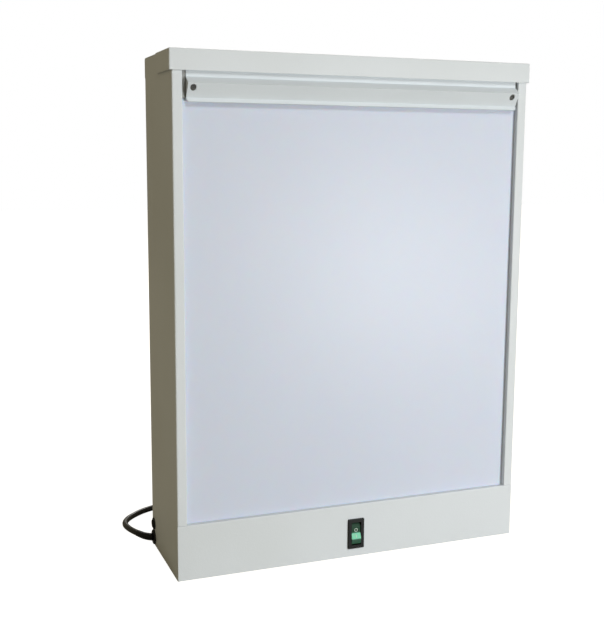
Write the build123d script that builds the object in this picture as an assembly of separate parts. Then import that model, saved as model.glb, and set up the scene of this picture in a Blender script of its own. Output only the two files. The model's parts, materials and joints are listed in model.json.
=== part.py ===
from build123d import *
import math
import os

# Wall or desk light box for viewing large transparent film. Millimetres.
# Frame: X to the right, -Y to the front, +Z up; origin at the centre of the base.

# Overall size
WIDTH = 378.0
DEPTH = 112.0
HEIGHT = 510.0

# Sheet metal
SHEET = 1.0
TRAY_SHEET = 0.8
BEND = 1.5  # outer radius of a vertical fold
TOP_BEND = 3.0  # outer radius of the fold along the top of the back
SEAM = 0.2  # gap where two painted edges butt
FIT = 0.15  # gap beside a piece that is screwed in place
HOLE_FIT = 0.05  # radial gap round a screw or a pin

# Viewing window
STRIP = 10.0  # width of the front strips beside the window
RECESS = 5.5  # from the strips' face back to the opal panel
SILL = 56.0  # height of the switch panel under the window
SILL_LIP = 12.0
PANEL_THICK = 3.0
PANEL_PLAY = 1.5  # side play of the opal panel between the walls
PANEL_SLIP = 0.2  # play of the opal panel between its guides
GUIDE_LEG = 12.0
FLANGE = 12.0  # inner flanges of the folded sheets

# Lift-off cap over the front part of the top
CAP_DEPTH = 54.0
CAP_SKIRT = 19.5
CAP_OVERHANG = 2.5
CAP_PROUD = 1.3
CAP_BEND = 1.2
CAP_REAR_LIP = 8.0
CAP_SHELF = 8.0  # shelf of the rear top plate that carries the cap's rear edge

# Film clip: places on its outer face, measured back from the strips' face and down from the cap
CLIP_LEFT_GAP = 4.0  # from the clip's left end to the strip beside it
CLIP_RIGHT_GAP = 2.0
CLIP_FLANGE_UP = 13.0
CLIP_BACK = 2.7
CLIP_FLANGE_DOWN = 5.5
CLIP_RIDGE = -6.1
CLIP_RIDGE_DOWN = 11.5
CLIP_THROAT = 1.8
CLIP_THROAT_DOWN = 24.5
CLIP_LIP = -0.5
CLIP_LIP_DOWN = 28.0
CLIP_CORNER = 4.0
END_BLOCK = 13.0
END_SCREW_IN = 9.5  # from the strip's edge to the end screw
END_SCREW_DOWN = 15.5
CLIP_SCREWS = 3
CLIP_SCREW_PITCH = 120.0
RAIL_DOWN = 10.5  # lower edge of the rail below the cap
ROLLERS = 4
ROLLER_RADIUS = 3.7
ROLLER_GAP = 0.3
DIVIDER = 2.0
ROLLER_END_PLAY = 0.5

# Rocker switch
SWITCH_X = 1.0
SWITCH_Z = 24.7
BEZEL_WIDE = 18.0
BEZEL_TALL = 32.0
BEZEL_PROUD = 2.0
BEZEL_CORNER = 1.0
SWITCH_BODY_WIDE = 14.6
SWITCH_BODY_TALL = 28.0
SWITCH_BODY_DEEP = 21.0
ROCKER_WIDE = 10.2
ROCKER_RADIUS = 11.9  # from the pivot to the rocker's curved ends
ROCKER_TILT = 10.0  # each way from the middle
ROCKER_VALLEY = 4.0  # from the pivot to the middle of the rocker's face
ROCKER_FACE = 6.6  # from the middle of the face to the facet at each end
ROCKER_FACET_LEAN = 23.0  # how far the end facets lean back
ROCKER_BEHIND = 4.0
PIVOT_RADIUS = 1.5
PIVOT_IN = 3.2  # the pivot's depth behind the panel's face
ROCKER_GAP = 0.3
TAB_WIDE = 6.3
TAB_THICK = 0.8
TAB_LONG = 8.0
TAB_PITCH = 7.0

# Cable entry and fuse on the left wall
ENTRY_FROM_BACK = 8.5
GLAND_Z = 8.6
GLAND_FLANGE = 7.8
GLAND_FLANGE_THICK = 1.8
GLAND_THREAD = 5.0
GLAND_INSIDE = 12.0
GLAND_NUT_FLATS = 12.6
GLAND_NUT_THICK = 4.0
FUSE_Z = 23.4
FUSE_FLANGE = 6.3
FUSE_FLANGE_THICK = 1.2
FUSE_BODY = 5.2
FUSE_BODY_LONG = 34.0
FUSE_CAP = 4.4
FUSE_CAP_PROUD = 1.0
FUSE_CAP_LONG = 9.0
FUSE_GLASS = 2.6
FUSE_GLASS_LONG = 20.0
SHEATH_LONG = 38.0  # of the cord's sheath inside the casing

# Lamp gear
GEAR_DEPTH = 34.0  # from the back wall to the reflector's rear
LAMP_X = 90.0
LAMP_RADIUS = 13.0
LAMP_WALL = 0.8
LAMP_BOTTOM = 36.0
LAMP_HEADROOM = 36.6  # from the lamp's upper end to the top of the casing
LAMP_STAND = 24.0  # from the reflector to the lamp's axis
LAMP_CAP_LONG = 18.0
LAMP_PIN = 1.2
LAMP_PIN_LONG = 7.0
LAMP_PIN_PITCH = 12.7
HOLDER_WIDE = 24.0
HOLDER_THICK = 14.0
TRAY_BOTTOM = 12.0
TRAY_HEADROOM = 11.0
TRAY_SIDE = 21.0  # from the side wall to the reflector's fold
WING_DEEP = 41.0
WING_OUT = 17.0
POST_RADIUS = 3.5
POST_IN = 19.0  # from the reflector's fold
POST_LOW = 84.0
POST_DOWN = 90.0  # from the top of the casing
STARTER_X = 30.0
STARTER_RADIUS = 10.7
STARTER_LONG = 36.0
STARTER_Z = 70.0
SOCKET_WIDE = 26.0
SOCKET_THICK = 12.0
BALLAST_WIDE = 41.0
BALLAST_DEEP = 28.0
BALLAST_LONG = 130.0
BALLAST_Z = 150.0
BALLAST_FOOT = 16.0
FOOT_THICK = 1.6
TERMINAL_IN = 44.0  # from the left lamp's axis towards the middle
TERMINAL_Z = 22.0
TERMINAL_SIZE = (44.0, 14.0, 17.0)
TERMINAL_WAYS = 4
EARTH_IN = 65.0  # from the left side
EARTH_Z = 40.0
EARTH_NUT = 4.0  # across its corners, halved
EARTH_NUT_THICK = 3.2
EARTH_STUD_LONG = 14.0

# Screws
SCREW = 1.5
SCREW_HEAD = 2.75
SCREW_HEAD_THICK = 1.9
GEAR_SCREW = 2.0
GEAR_SCREW_HEAD = 3.6
GEAR_SCREW_HEAD_THICK = 2.4
WIRE = 0.9
WIRE_BEND = 4.5

# Openings in the back
KEYHOLE_PITCH = 240.0
KEYHOLE_DOWN = 48.0  # from the top of the casing
KEYHOLE_HEAD = 4.75
KEYHOLE_SLOT = 2.3
KEYHOLE_RISE = 13.0
WALL_SCREW_Z = 62.0
WALL_SCREW_HOLE = 2.5
VENT_WIDE = 4.0
VENT_TALL = 30.0
VENTS = 9
VENT_PITCH = 14.0
VENT_LOW = 104.0
VENT_DOWN = 110.0  # from the top of the casing

# Mains cord
CORD = 3.2  # radius
COIL_X = -95.0
COIL_BEHIND = 52.0  # from the casing's back
COIL_RADIUS = 35.2
COIL_ACROSS = 4  # turns side by side
COIL_LAYERS = 2
PLUG_X = -14.0
PLUG_Y = 144.0
PLUG_LONG = 36.0
PLUG_WIDE = 38.0
PLUG_TALL = 20.0
PLUG_NECK = 22.0
PIN_LONG = 18.0
PIN_WIDE = 6.3
PIN_THICK = 1.6

# Worked out from the sizes above
FRONT = -DEPTH / 2
BACK = DEPTH / 2
HALF = WIDTH / 2
INNER = HALF - SHEET
BACK_INNER = BACK - SHEET
ROOF = HEIGHT - SHEET  # underside of the top sheets and top of the walls
WINDOW = HALF - STRIP
PANEL_FRONT = FRONT + RECESS
PANEL_BACK = PANEL_FRONT + PANEL_THICK
CAP_FRONT = FRONT - CAP_PROUD
CAP_BACK = CAP_FRONT + CAP_DEPTH
CAP_BOTTOM = HEIGHT - CAP_SKIRT
TOP_FRONT = CAP_BACK + SEAM
RAIL_FRONT = FRONT + CLIP_BACK + SHEET
RAIL_BACK = RAIL_FRONT + SHEET
ENTRY_Y = BACK - ENTRY_FROM_BACK
TRAY_BACK = BACK_INNER - GEAR_DEPTH
TRAY_FRONT = TRAY_BACK - TRAY_SHEET
TRAY_HALF = INNER - TRAY_SIDE
LAMP_Y = TRAY_FRONT - LAMP_STAND
LAMP_TOP = HEIGHT - LAMP_HEADROOM
TRAY_TOP = ROOF - TRAY_HEADROOM
LAMP_LONG = LAMP_TOP - LAMP_BOTTOM
CLIP_LEFT = CLIP_LEFT_GAP - WINDOW
CLIP_RIGHT = WINDOW - CLIP_RIGHT_GAP
POST_X = TRAY_HALF - POST_IN
POST_Z = (POST_LOW, HEIGHT - POST_DOWN)
KEYHOLE_Z = HEIGHT - KEYHOLE_DOWN
VENT_Z = (VENT_LOW, HEIGHT - VENT_DOWN)
TERMINAL_X = TERMINAL_IN - LAMP_X
EARTH_X = EARTH_IN - HALF
COIL_Y = BACK + COIL_BEHIND
SIDES = (-1, 1)


def block(x, y, z):
    """A box between two values on each axis."""
    size = [max(span) - min(span) for span in (x, y, z)]
    return Pos(*[sum(span) / 2 for span in (x, y, z)]) * Box(*size)


def rod(start, direction, radius, length):
    """A round bar from start along direction."""
    plane = Plane(origin=start, z_dir=direction)
    return plane * Cylinder(radius, length, align=(Align.CENTER, Align.CENTER, Align.MIN))


def cone(start, direction, wide, thin, length):
    plane = Plane(origin=start, z_dir=direction)
    return plane * Cone(wide, thin, length, align=(Align.CENTER, Align.CENTER, Align.MIN))


def along_x(outline, x0, x1):
    """An outline of (y, z) points carried along X."""
    return extrude(Plane.YZ.offset(x0) * Polygon(*outline, align=None), amount=x1 - x0, dir=(1, 0, 0))


def along_z(outline, z0, z1):
    """An outline of (x, y) points carried along Z."""
    return extrude(Plane.XY.offset(z0) * Polygon(*outline, align=None), amount=z1 - z0, dir=(0, 0, 1))


def beside(points, distance):
    """The open path that runs at a distance to the left of the given one, with mitred corners."""
    normals = []
    for (ax, ay), (bx, by) in zip(points, points[1:]):
        run = math.hypot(bx - ax, by - ay)
        normals.append((-(by - ay) / run, (bx - ax) / run))
    out = []
    for i, (px, py) in enumerate(points):
        before = normals[max(i - 1, 0)]
        after = normals[min(i, len(normals) - 1)]
        scale = distance / (1 + before[0] * after[0] + before[1] * after[1])
        out.append((px + scale * (before[0] + after[0]), py + scale * (before[1] + after[1])))
    return out


def edges_at(shape, axis, x=None, y=None, z=None):
    """The straight edges parallel to an axis that pass through the given coordinates."""
    found = shape.edges().filter_by(axis)
    for value, part in ((x, "X"), (y, "Y"), (z, "Z")):
        if value is not None:
            found = [e for e in found if abs(getattr(e.center(), part) - value) < 0.01]
    return found


def pipe(points, radius, bends):
    """A round tube along straight runs joined by tangent arcs."""
    path = FilletPolyline(*points, radius=bends)
    start = Plane(origin=path @ 0, z_dir=path % 0)
    return sweep(start * Circle(radius), path=path)


def wire(*points):
    return pipe(points, WIRE, WIRE_BEND)


def pan_screw(seat, direction, length, shank=SCREW, head=SCREW_HEAD, thick=SCREW_HEAD_THICK):
    """A pan head screw whose head seats at a point; the shank runs along direction."""
    way = Vector(*direction)
    body = rod(seat, way, shank, length)
    cap = rod(Vector(*seat) - way * thick, way, head, thick)
    cap = fillet(cap.edges().sort_by(lambda e: e.center().dot(way))[0], thick * 0.4)
    middle = Vector(*seat) - way * thick
    across = Vector(0, 0, 1) if abs(way.Z) < 0.5 else Vector(1, 0, 0)
    slot = Plane(origin=middle, x_dir=across, z_dir=way) * Box(head * 1.3, 0.7, thick)
    cross = Plane(origin=middle, x_dir=across.cross(way), z_dir=way) * Box(head * 1.3, 0.7, thick)
    return body + cap - slot - cross


def gear_screw(seat, length):
    """The larger screw size, driven towards the back."""
    return pan_screw(seat, (0, 1, 0), length, GEAR_SCREW, GEAR_SCREW_HEAD, GEAR_SCREW_HEAD_THICK)


def group(solids):
    """Separate solids that share one node."""
    return Compound(children=list(solids))


# ---- Folded casing ----


def top_corner_waste():
    """What the fold of the top plate takes off the rear top corner of the walls."""
    inner = TOP_BEND - SHEET
    square = block((-HALF, HALF), (BACK_INNER - inner, BACK), (ROOF - inner, HEIGHT))
    return square - rod((-HALF, BACK_INNER - inner, ROOF - inner), (1, 0, 0), inner, WIDTH)


def keyhole(x):
    head = rod((x, BACK_INNER - 1, KEYHOLE_Z), (0, 1, 0), KEYHOLE_HEAD, SHEET + 2)
    through = (BACK_INNER - 1, BACK + 1)
    neck = block((x - KEYHOLE_SLOT, x + KEYHOLE_SLOT), through, (KEYHOLE_Z, KEYHOLE_Z + KEYHOLE_RISE))
    tip = rod((x, BACK_INNER - 1, KEYHOLE_Z + KEYHOLE_RISE), (0, 1, 0), KEYHOLE_SLOT, SHEET + 2)
    return head + neck + tip


def vent(x, z):
    slot = SlotOverall(VENT_TALL, VENT_WIDE, rotation=90)
    return extrude(Plane.XZ.offset(-BACK - 1) * Pos(x, z) * slot, amount=SHEET + 2)


def make_housing_body():
    """Back, side walls, front strips and their returns, folded from one sheet."""
    shell = block((-HALF, HALF), (BACK_INNER, BACK), (0, HEIGHT - CAP_SKIRT - SEAM))
    for side in SIDES:
        shell += block((side * INNER, side * HALF), (FRONT, BACK), (0, ROOF))
        shell += block((side * WINDOW, side * HALF), (FRONT, FRONT + SHEET), (0, ROOF))
        shell += block((side * WINDOW, side * (WINDOW + SHEET)), (FRONT, PANEL_FRONT), (0, ROOF))
    corners = [
        edge for side in SIDES for y in (FRONT, BACK) for edge in edges_at(shell, Axis.Z, side * HALF, y)
    ]
    shell = fillet(corners, BEND)
    shell = fillet([e for s in SIDES for e in edges_at(shell, Axis.Z, s * WINDOW, FRONT)], SHEET * 0.8)
    # The switch panel closes the front below the window.
    shell -= block((-HALF, HALF), (FRONT, FRONT + SHEET), (0, SILL + SEAM))
    shell -= block((-WINDOW - SHEET, WINDOW + SHEET), (FRONT, PANEL_FRONT), (0, SILL + SEAM))
    # The folded edge of the top plate closes the rear top corner.
    shell -= block((-HALF, HALF), (BACK_INNER, BACK), (CAP_BOTTOM - SEAM, HEIGHT))
    shell -= top_corner_waste()
    wall = (-HALF - 1, ENTRY_Y)
    shell -= rod((*wall, GLAND_Z), (1, 0, 0), GLAND_THREAD + HOLE_FIT, SHEET + 2)
    shell -= rod((*wall, FUSE_Z), (1, 0, 0), FUSE_BODY + HOLE_FIT, SHEET + 2)
    for side in SIDES:
        shell -= keyhole(side * KEYHOLE_PITCH / 2)
        hole = (side * KEYHOLE_PITCH / 2, BACK_INNER - 1, WALL_SCREW_Z)
        shell -= rod(hole, (0, 1, 0), WALL_SCREW_HOLE, SHEET + 2)
    for z in VENT_Z:
        for i in range(VENTS):
            shell -= vent((i - (VENTS - 1) / 2) * VENT_PITCH, z)
    for x, z in [*ballast_screw_places(), *post_places(), terminal_screw_place(), (EARTH_X, EARTH_Z)]:
        shell -= rod((x, BACK_INNER - 1, z), (0, 1, 0), GEAR_SCREW + HOLE_FIT, SHEET + 2)
    return shell


def make_bottom_plate():
    plate = block((-INNER, INNER), (FRONT + SHEET, BACK_INNER), (0, SHEET))
    clear = ENTRY_Y - GLAND_FLANGE - 2
    for side in SIDES:
        plate += block((side * (INNER - SHEET), side * INNER), (FRONT + 2 * FLANGE, clear), (0, FLANGE))
    plate += block((-TRAY_HALF, TRAY_HALF), (BACK_INNER - SHEET, BACK_INNER), (0, FLANGE))
    return plate


def make_top_plate():
    """Rear part of the top, folded down over the back, with a shelf for the cap's rear edge."""
    plate = block((-HALF, HALF), (TOP_FRONT, BACK), (ROOF, HEIGHT))
    plate += block((-HALF, HALF), (BACK_INNER, BACK), (CAP_BOTTOM, HEIGHT))
    plate = fillet(edges_at(plate, Axis.X, y=BACK_INNER, z=ROOF), TOP_BEND - SHEET)
    plate = fillet(edges_at(plate, Axis.X, y=BACK, z=HEIGHT), TOP_BEND)
    shelf = INNER - FIT
    plate += block((-shelf, shelf), (TOP_FRONT, TOP_FRONT + SHEET), (ROOF - 2 * SHEET, ROOF))
    ledge = (TOP_FRONT - CAP_SHELF, TOP_FRONT + SHEET)
    plate += block((-shelf, shelf), ledge, (ROOF - 2 * SHEET, ROOF - SHEET))
    for side in SIDES:
        tab = (TOP_FRONT + FLANGE, BACK_INNER - FLANGE)
        plate += block((side * (INNER - SHEET), side * INNER), tab, (ROOF - FLANGE, ROOF))
    return plate


def make_top_cap():
    """Shallow tray, open below, that lifts off to let the opal panel out."""
    outer = HALF + CAP_OVERHANG
    tray = block((-outer, outer), (CAP_FRONT, CAP_BACK), (CAP_BOTTOM, HEIGHT))
    tray = fillet([e for s in SIDES for e in edges_at(tray, Axis.Z, s * outer, CAP_FRONT)], CAP_BEND)
    tray = fillet(edges_at(tray, Axis.X, y=CAP_FRONT, z=HEIGHT)[0], CAP_BEND * 0.8)
    tray -= block((SHEET - outer, outer - SHEET), (CAP_FRONT + SHEET, CAP_BACK), (CAP_BOTTOM, ROOF))
    lip = INNER - 2 * SHEET
    shelf_clear = TOP_FRONT - CAP_SHELF - SHEET - 2 * SEAM
    tray += block((-lip, lip), (shelf_clear - SHEET, shelf_clear), (ROOF - CAP_REAR_LIP, ROOF))
    return tray


def make_switch_panel():
    """Front cover below the window: sill on top, flanges inside, cut-out for the switch."""
    cover = block((-HALF, HALF), (FRONT, FRONT + SHEET), (0, SILL))
    cover += block((SHEET - INNER, INNER - SHEET), (FRONT, PANEL_FRONT - PANEL_SLIP), (SILL - SHEET, SILL))
    cover = fillet(edges_at(cover, Axis.X, y=FRONT, z=SILL), SHEET * 0.8)
    cover = fillet([e for s in SIDES for e in edges_at(cover, Axis.Z, s * HALF, FRONT)], SHEET * 0.8)
    lip_back = PANEL_FRONT - PANEL_SLIP
    cover += block((-WINDOW, WINDOW), (lip_back - SHEET, lip_back), (SILL - SILL_LIP, SILL))
    for side in SIDES:
        flange = (side * (INNER - SHEET), side * INNER)
        cover += block(flange, (FRONT, FRONT + FLANGE), (SHEET, SILL - SILL_LIP - 2 * SHEET))
    cover += block((SHEET - INNER, INNER - SHEET), (FRONT, FRONT + FLANGE), (SHEET, 2 * SHEET))
    half_wide = SWITCH_BODY_WIDE / 2 + FIT
    half_tall = SWITCH_BODY_TALL / 2 + FIT
    return cover - block(
        (SWITCH_X - half_wide, SWITCH_X + half_wide),
        (FRONT - 1, FRONT + SHEET + 1),
        (SWITCH_Z - half_tall, SWITCH_Z + half_tall),
    )


def make_panel_guide(side):
    """Angle behind the opal panel's edge, with a tab under its corner."""
    front = PANEL_BACK + PANEL_SLIP
    foot = SILL - SILL_LIP
    top = CAP_BOTTOM
    guide = block((side * (INNER - SHEET), side * INNER), (front, front + GUIDE_LEG), (foot, top))
    guide += block((side * (INNER - GUIDE_LEG), side * INNER), (front, front + SHEET), (foot, top))
    tab = (PANEL_FRONT - PANEL_SLIP, front + SHEET)
    return guide + block((side * (INNER - GUIDE_LEG), side * INNER), tab, (foot - SHEET, foot))


def make_diffuser_panel():
    half = INNER - PANEL_PLAY
    sheet = block((-half, half), (PANEL_FRONT, PANEL_BACK), (SILL - SILL_LIP + SEAM, ROOF - 2 * SHEET))
    return fillet(edges_at(sheet, Axis.Y), 2.0)


# ---- Film clip ----


def clip_path():
    """The clip's outer face as (y, z) points, from its upper edge to its lip."""
    return [
        (FRONT + CLIP_BACK, CAP_BOTTOM + CLIP_FLANGE_UP),
        (FRONT + CLIP_BACK, CAP_BOTTOM - CLIP_FLANGE_DOWN),
        (FRONT + CLIP_RIDGE, CAP_BOTTOM - CLIP_RIDGE_DOWN),
        (FRONT + CLIP_THROAT, CAP_BOTTOM - CLIP_THROAT_DOWN),
        (FRONT + CLIP_LIP, CAP_BOTTOM - CLIP_LIP_DOWN),
    ]


def wedge(gap):
    """The hollow between the clip and the rail's plane, less a gap all round."""
    inner = beside(clip_path(), SHEET + gap)
    top, ridge, throat = inner[1], inner[2], inner[3]
    back = RAIL_FRONT
    return [(back, top[1]), ridge, throat, (back, throat[1])]


def end_screw_places():
    return [side * (WINDOW - END_SCREW_IN) for side in SIDES]


def end_screw_hole(x, radius, end=RAIL_BACK):
    """Hole for an end screw, open to the front and bored back as far as end."""
    start = FRONT + 2 * CLIP_RIDGE
    return rod((x, start, CAP_BOTTOM - END_SCREW_DOWN), (0, 1, 0), radius, end - start)


def make_clip_bar():
    path = clip_path()
    bar = along_x(path + beside(path, SHEET)[::-1], CLIP_LEFT, CLIP_RIGHT)
    low = CAP_BOTTOM - CLIP_LIP_DOWN - 1
    ends = (CLIP_LEFT, CLIP_RIGHT)
    trim = block(ends, (FRONT - 10, RAIL_BACK), (low, HEIGHT))
    trim = fillet([e for end in ends for e in edges_at(trim, Axis.Y, end, z=low)], CLIP_CORNER)
    bar &= trim
    for x in end_screw_places():
        bar -= end_screw_hole(x, SCREW_HEAD + FIT)
    for x in clip_screw_places():
        bar -= rod((x, FRONT, clip_screw_z()), (0, 1, 0), SCREW + HOLE_FIT, RECESS)
    return bar


def clip_screw_places():
    return [(i - (CLIP_SCREWS - 1) / 2) * CLIP_SCREW_PITCH for i in range(CLIP_SCREWS)]


def clip_screw_z():
    return CAP_BOTTOM + CLIP_FLANGE_UP / 2


def block_span(side):
    """Where the end block on a side starts and ends along X."""
    if side < 0:
        return CLIP_LEFT + SHEET / 2, CLIP_LEFT + SHEET / 2 + END_BLOCK
    return CLIP_RIGHT - SHEET / 2 - END_BLOCK, CLIP_RIGHT - SHEET / 2


def make_end_block(side):
    filler = along_x(wedge(FIT), *block_span(side))
    x = side * (WINDOW - END_SCREW_IN)
    filler -= end_screw_hole(x, SCREW + HOLE_FIT)
    return filler - end_screw_hole(x, SCREW_HEAD + FIT, end_screw_seat())


def end_screw_seat():
    """Depth of the flat seat for the end screw's head, just inside the sloping face."""
    (y0, z0), (y1, z1) = clip_path()[2:4]
    z = CAP_BOTTOM - END_SCREW_DOWN
    slope_y = y0 + (y1 - y0) * (z0 - z) / (z0 - z1)
    return slope_y + SHEET + SCREW_HEAD_THICK


def make_end_screws():
    seat = end_screw_seat()
    z = CAP_BOTTOM - END_SCREW_DOWN
    return group(pan_screw((x, seat, z), (0, 1, 0), RAIL_BACK - seat) for x in end_screw_places())


def make_top_rail():
    """Cross rail behind the clip, fixed to the returns of the front strips."""
    face = (RAIL_FRONT, RAIL_BACK)
    top = ROOF - 3 * SHEET
    rail = block((-WINDOW, WINDOW), face, (CAP_BOTTOM - RAIL_DOWN, top))
    ears = {-1: CLIP_LEFT + END_BLOCK, 1: CLIP_RIGHT - END_BLOCK}
    for side in SIDES:
        rail += block((ears[side], side * WINDOW), face, (CAP_BOTTOM - CLIP_THROAT_DOWN, top))
        tab = (side * (WINDOW - SHEET), side * WINDOW)
        rail += block(tab, (FRONT + 2 * SHEET, RAIL_BACK), (CAP_BOTTOM + SHEET, top))
    for x in end_screw_places():
        rail -= end_screw_hole(x, SCREW + HOLE_FIT)
    for x in clip_screw_places():
        rail -= rod((x, FRONT, clip_screw_z()), (0, 1, 0), SCREW + HOLE_FIT, RECESS)
    return rail


def make_clip_screws():
    seat = FRONT + CLIP_BACK
    z = clip_screw_z()
    return group(pan_screw((x, seat, z), (0, 1, 0), RAIL_BACK - seat) for x in clip_screw_places())


def roller_axis():
    """Where a roller rests, with its gap to the opal panel and to the clip's sloping face."""
    (y0, z0), (y1, z1) = beside(clip_path(), SHEET)[2:4]
    run = math.hypot(y1 - y0, z1 - z0)
    normal = ((z0 - z1) / run, (y1 - y0) / run)
    y = PANEL_FRONT - ROLLER_RADIUS - ROLLER_GAP
    away = ROLLER_RADIUS + ROLLER_GAP
    return y, z1 + (away - (y - y1) * normal[0]) / normal[1]


def roller_bay():
    """Length of one roller's bay between the end blocks and the dividers."""
    free = block_span(1)[0] - block_span(-1)[1]
    return (free - (ROLLERS - 1) * DIVIDER) / ROLLERS


def make_roller(index):
    y, z = roller_axis()
    bay = roller_bay()
    start = block_span(-1)[1] + index * (bay + DIVIDER)
    bar = rod((start + ROLLER_END_PLAY, y, z), (1, 0, 0), ROLLER_RADIUS, bay - 2 * ROLLER_END_PLAY)
    return chamfer(bar.edges().filter_by(GeomType.CIRCLE), 0.6)


def make_dividers():
    bay = roller_bay()
    first = block_span(-1)[1] + bay
    starts = [first + i * (bay + DIVIDER) for i in range(ROLLERS - 1)]
    return group(along_x(wedge(0), x, x + DIVIDER) for x in starts)


# ---- Rocker switch ----


def pivot():
    return FRONT + PIVOT_IN


def make_switch_body():
    bezel = block(
        (SWITCH_X - BEZEL_WIDE / 2, SWITCH_X + BEZEL_WIDE / 2),
        (FRONT - BEZEL_PROUD, FRONT),
        (SWITCH_Z - BEZEL_TALL / 2, SWITCH_Z + BEZEL_TALL / 2),
    )
    bezel = fillet(bezel.edges().filter_by(Axis.Y), BEZEL_CORNER)
    bezel = fillet(bezel.faces().sort_by(Axis.Y)[0].edges(), BEZEL_PROUD * 0.35)
    body = block(
        (SWITCH_X - SWITCH_BODY_WIDE / 2, SWITCH_X + SWITCH_BODY_WIDE / 2),
        (FRONT, FRONT + SWITCH_BODY_DEEP),
        (SWITCH_Z - SWITCH_BODY_TALL / 2, SWITCH_Z + SWITCH_BODY_TALL / 2),
    )
    mouth = ROCKER_WIDE / 2 + ROCKER_GAP / 2
    reach = ROCKER_RADIUS + ROCKER_GAP
    deep = ROCKER_BEHIND + ROCKER_RADIUS * math.sin(math.radians(ROCKER_TILT)) + 1
    body = bezel + body - block(
        (SWITCH_X - mouth, SWITCH_X + mouth),
        (FRONT - BEZEL_PROUD - 1, pivot() + deep),
        (SWITCH_Z - reach, SWITCH_Z + reach),
    )
    for side in SIDES:
        stub = SWITCH_BODY_WIDE / 2 - 0.3
        start = (SWITCH_X + side * stub, pivot(), SWITCH_Z)
        body += rod(start, (-side, 0, 0), PIVOT_RADIUS, stub - mouth + 1.2)
    return body


def make_rocker():
    """Rocker with its upper end pressed in, turning about the pivot stubs of the switch body."""
    far = ROCKER_RADIUS + 5
    peak = ROCKER_VALLEY + ROCKER_FACE * math.tan(math.radians(ROCKER_TILT))
    end = peak - (far - ROCKER_FACE) * math.tan(math.radians(ROCKER_FACET_LEAN))
    outline = [
        (-ROCKER_VALLEY, 0),
        (-peak, ROCKER_FACE),
        (-end, far),
        (ROCKER_BEHIND, far),
        (ROCKER_BEHIND, -far),
        (-end, -far),
        (-peak, -ROCKER_FACE),
    ]
    half = ROCKER_WIDE / 2
    lever = along_x(outline, -half, half) & rod((-half, 0, 0), (1, 0, 0), ROCKER_RADIUS, 2 * half)
    lever = fillet(lever.edges().filter_by(Axis.X).group_by(Axis.Y)[0], 0.5)
    lever -= rod((-half, 0, 0), (1, 0, 0), PIVOT_RADIUS + HOLE_FIT, 2 * half)
    return Pos(SWITCH_X, pivot(), SWITCH_Z) * Rot(-ROCKER_TILT, 0, 0) * lever


def tab_places():
    return [SWITCH_Z + (i - 1) * TAB_PITCH for i in range(3)]


def make_switch_tabs():
    back = FRONT + SWITCH_BODY_DEEP
    half = TAB_WIDE / 2
    blades = []
    for z in tab_places():
        thick = (z - TAB_THICK / 2, z + TAB_THICK / 2)
        blade = block((SWITCH_X - half, SWITCH_X + half), (back, back + TAB_LONG), thick)
        blades.append(blade - rod((SWITCH_X, back + TAB_LONG * 0.6, z - 1), (0, 0, 1), 0.9, 2))
    return group(blades)


# ---- Cable entry, fuse, earth and terminals ----


def make_gland():
    centre = (-HALF, ENTRY_Y, GLAND_Z)
    flange = rod(centre, (-1, 0, 0), GLAND_FLANGE, GLAND_FLANGE_THICK)
    flange = fillet(flange.edges().filter_by(GeomType.CIRCLE).sort_by(Axis.X)[0], GLAND_FLANGE_THICK * 0.6)
    body = flange + rod(centre, (1, 0, 0), GLAND_THREAD, GLAND_INSIDE)
    return body - rod((-HALF - 5, ENTRY_Y, GLAND_Z), (1, 0, 0), CORD + HOLE_FIT, GLAND_INSIDE + 6)


def cord_exit():
    """Outer face of the gland, where the free cord starts."""
    return -HALF - GLAND_FLANGE_THICK


def make_gland_nut():
    start = Plane(origin=(-INNER, ENTRY_Y, GLAND_Z), x_dir=(0, 0, 1), z_dir=(1, 0, 0))
    nut = extrude(start * RegularPolygon(GLAND_NUT_FLATS / math.sqrt(3), 6), amount=GLAND_NUT_THICK)
    return nut - rod((-INNER, ENTRY_Y, GLAND_Z), (1, 0, 0), GLAND_THREAD + HOLE_FIT, GLAND_NUT_THICK)


def make_fuse_holder():
    centre = (-HALF, ENTRY_Y, FUSE_Z)
    flange = rod(centre, (-1, 0, 0), FUSE_FLANGE, FUSE_FLANGE_THICK)
    flange = fillet(flange.edges().filter_by(GeomType.CIRCLE).sort_by(Axis.X)[0], FUSE_FLANGE_THICK * 0.5)
    body = flange + rod(centre, (1, 0, 0), FUSE_BODY, FUSE_BODY_LONG)
    front = (-HALF - FUSE_FLANGE_THICK, ENTRY_Y, FUSE_Z)
    body -= rod(front, (1, 0, 0), FUSE_CAP + HOLE_FIT, FUSE_FLANGE_THICK + FUSE_CAP_LONG)
    bore = FUSE_CAP_LONG + FUSE_GLASS_LONG + 1
    return body - rod(centre, (1, 0, 0), FUSE_GLASS + FIT, bore)


def make_fuse_cap():
    front = (-HALF - FUSE_FLANGE_THICK - FUSE_CAP_PROUD, ENTRY_Y, FUSE_Z)
    length = FUSE_CAP_PROUD + FUSE_FLANGE_THICK + FUSE_CAP_LONG
    cap = rod(front, (1, 0, 0), FUSE_CAP, length)
    cap = fillet(cap.edges().filter_by(GeomType.CIRCLE).sort_by(Axis.X)[0], FUSE_CAP_PROUD * 0.5)
    slot = Pos(*front) * Box(2 * FUSE_CAP_PROUD, 1.2, FUSE_CAP * 1.4)
    socket = rod((-HALF + FUSE_CAP_LONG - 4, ENTRY_Y, FUSE_Z), (1, 0, 0), FUSE_GLASS + HOLE_FIT, 4)
    return cap - slot - socket


def make_fuse_cartridge():
    start = (-HALF + FUSE_CAP_LONG - 4, ENTRY_Y, FUSE_Z)
    return rod(start, (1, 0, 0), FUSE_GLASS, FUSE_GLASS_LONG)


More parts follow.
